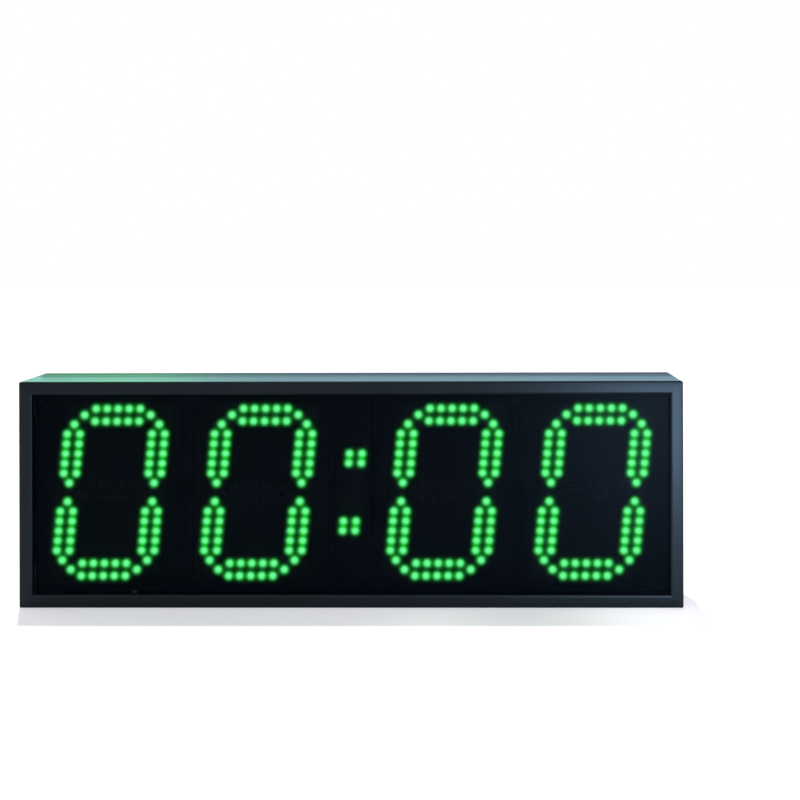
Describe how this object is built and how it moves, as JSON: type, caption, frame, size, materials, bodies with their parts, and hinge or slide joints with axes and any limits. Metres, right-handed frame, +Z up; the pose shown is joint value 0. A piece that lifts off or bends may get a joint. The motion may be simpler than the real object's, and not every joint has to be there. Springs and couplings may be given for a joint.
{
  "type": "sports timer",
  "caption": "Long wall or table timer: slanted green lamp digits and a colon behind a smoked window, in a black mitred case with rear buttons, power socket and swivel hanging plates.",
  "frame": {"origin": "middle of the flat bottom of the case", "axes": "+X to the right seen from the front, +Y from the window to the rear cover, +Z up"},
  "size_m": [0.578, 0.0624, 0.197],
  "materials": {
    "black_frame": "satin black anodised",
    "bare_aluminium": "mill finish",
    "smoked_window": "polished smoked acrylic",
    "foam": "matt closed-cell foam",
    "circuit_board": "dark green lacquered board",
    "lamps": "clear green lamp",
    "black_plastic": "moulded",
    "grey_plastic": "moulded",
    "painted_cover": "fine-textured black powder coat",
    "zinc_steel": "zinc plated",
    "ferrite": "dull ferrite",
    "ribbon": "grey ribbon cable",
    "lead": "soft black sheath"
  },
  "bodies": {
    "case": {"frame_top": "black_frame", "frame_bottom": "black_frame", "frame_left": "black_frame", "frame_right": "black_frame", "corner_key_lower_left": "bare_aluminium", "corner_key_lower_right": "bare_aluminium", "corner_key_upper_left": "bare_aluminium", "corner_key_upper_right": "bare_aluminium", "front_window": "smoked_window", "window_strip_upper": "foam", "window_strip_lower": "foam", "digit_1_board": "circuit_board", "digit_2_board": "circuit_board", "digit_3_board": "circuit_board", "digit_4_board": "circuit_board", "colon_board": "circuit_board", "digit_1_lamps": "lamps", "digit_2_lamps": "lamps", "digit_3_lamps": "lamps", "digit_4_lamps": "lamps", "colon_lamps": "lamps", "rail_upper": "bare_aluminium", "rail_lower": "bare_aluminium", "remote_receiver": "black_plastic", "rear_cover": "painted_cover", "cover_screw_lower_left": "zinc_steel", "cover_screw_lower_middle": "zinc_steel", "cover_screw_lower_right": "zinc_steel", "cover_screw_upper_left": "zinc_steel", "cover_screw_upper_middle": "zinc_steel", "cover_screw_upper_right": "zinc_steel", "control_board": "circuit_board", "control_chip": "black_plastic", "buzzer": "black_plastic", "cell_holder": "black_plastic", "clock_cell": "zinc_steel", "power_coil": "ferrite", "button_switch_1": "black_plastic", "button_switch_2": "black_plastic", "button_switch_3": "black_plastic", "button_switch_4": "black_plastic", "switch_housing": "black_plastic", "power_socket": "black_plastic", "socket_nut": "zinc_steel", "hanger_screw_left": "zinc_steel", "hanger_screw_right": "zinc_steel", "link_ribbon_1": "ribbon", "link_ribbon_2": "ribbon", "link_ribbon_3": "ribbon", "main_ribbon": "ribbon", "power_lead": "lead", "supply_lead": "lead"},
    "button_1_cap": {"button_1": "grey_plastic"},
    "button_2_cap": {"button_2": "grey_plastic"},
    "button_3_cap": {"button_3": "grey_plastic"},
    "button_4_cap": {"button_4": "grey_plastic"},
    "rocker": {"switch_rocker": "grey_plastic"},
    "hanger_left_plate": {"hanger_left": "zinc_steel"},
    "hanger_right_plate": {"hanger_right": "zinc_steel"}
  },
  "joints": [
    {"name": "button_1_press", "type": "slide", "parent": "case", "child": "button_1_cap", "axis": [0, -1, 0], "range_m": [0, 0.0008], "stiffness_N_per_m": 600},
    {"name": "button_2_press", "type": "slide", "parent": "case", "child": "button_2_cap", "axis": [0, -1, 0], "range_m": [0, 0.0008], "stiffness_N_per_m": 600},
    {"name": "button_3_press", "type": "slide", "parent": "case", "child": "button_3_cap", "axis": [0, -1, 0], "range_m": [0, 0.0008], "stiffness_N_per_m": 600},
    {"name": "button_4_press", "type": "slide", "parent": "case", "child": "button_4_cap", "axis": [0, -1, 0], "range_m": [0, 0.0008], "stiffness_N_per_m": 600},
    {"name": "rocker_tilt", "type": "hinge", "parent": "case", "child": "rocker", "pos_m": [-0.045, 0.0236, 0.078], "axis": [-1, 0, 0], "range_deg": [0, 24]},
    {"name": "hanger_left_swing", "type": "hinge", "parent": "case", "child": "hanger_left_plate", "pos_m": [-0.2, 0.0303, 0.187], "axis": [0, 1, 0], "range_deg": [0, 180]},
    {"name": "hanger_right_swing", "type": "hinge", "parent": "case", "child": "hanger_right_plate", "pos_m": [0.2, 0.0303, 0.187], "axis": [0, -1, 0], "range_deg": [0, 180]}
  ]
}
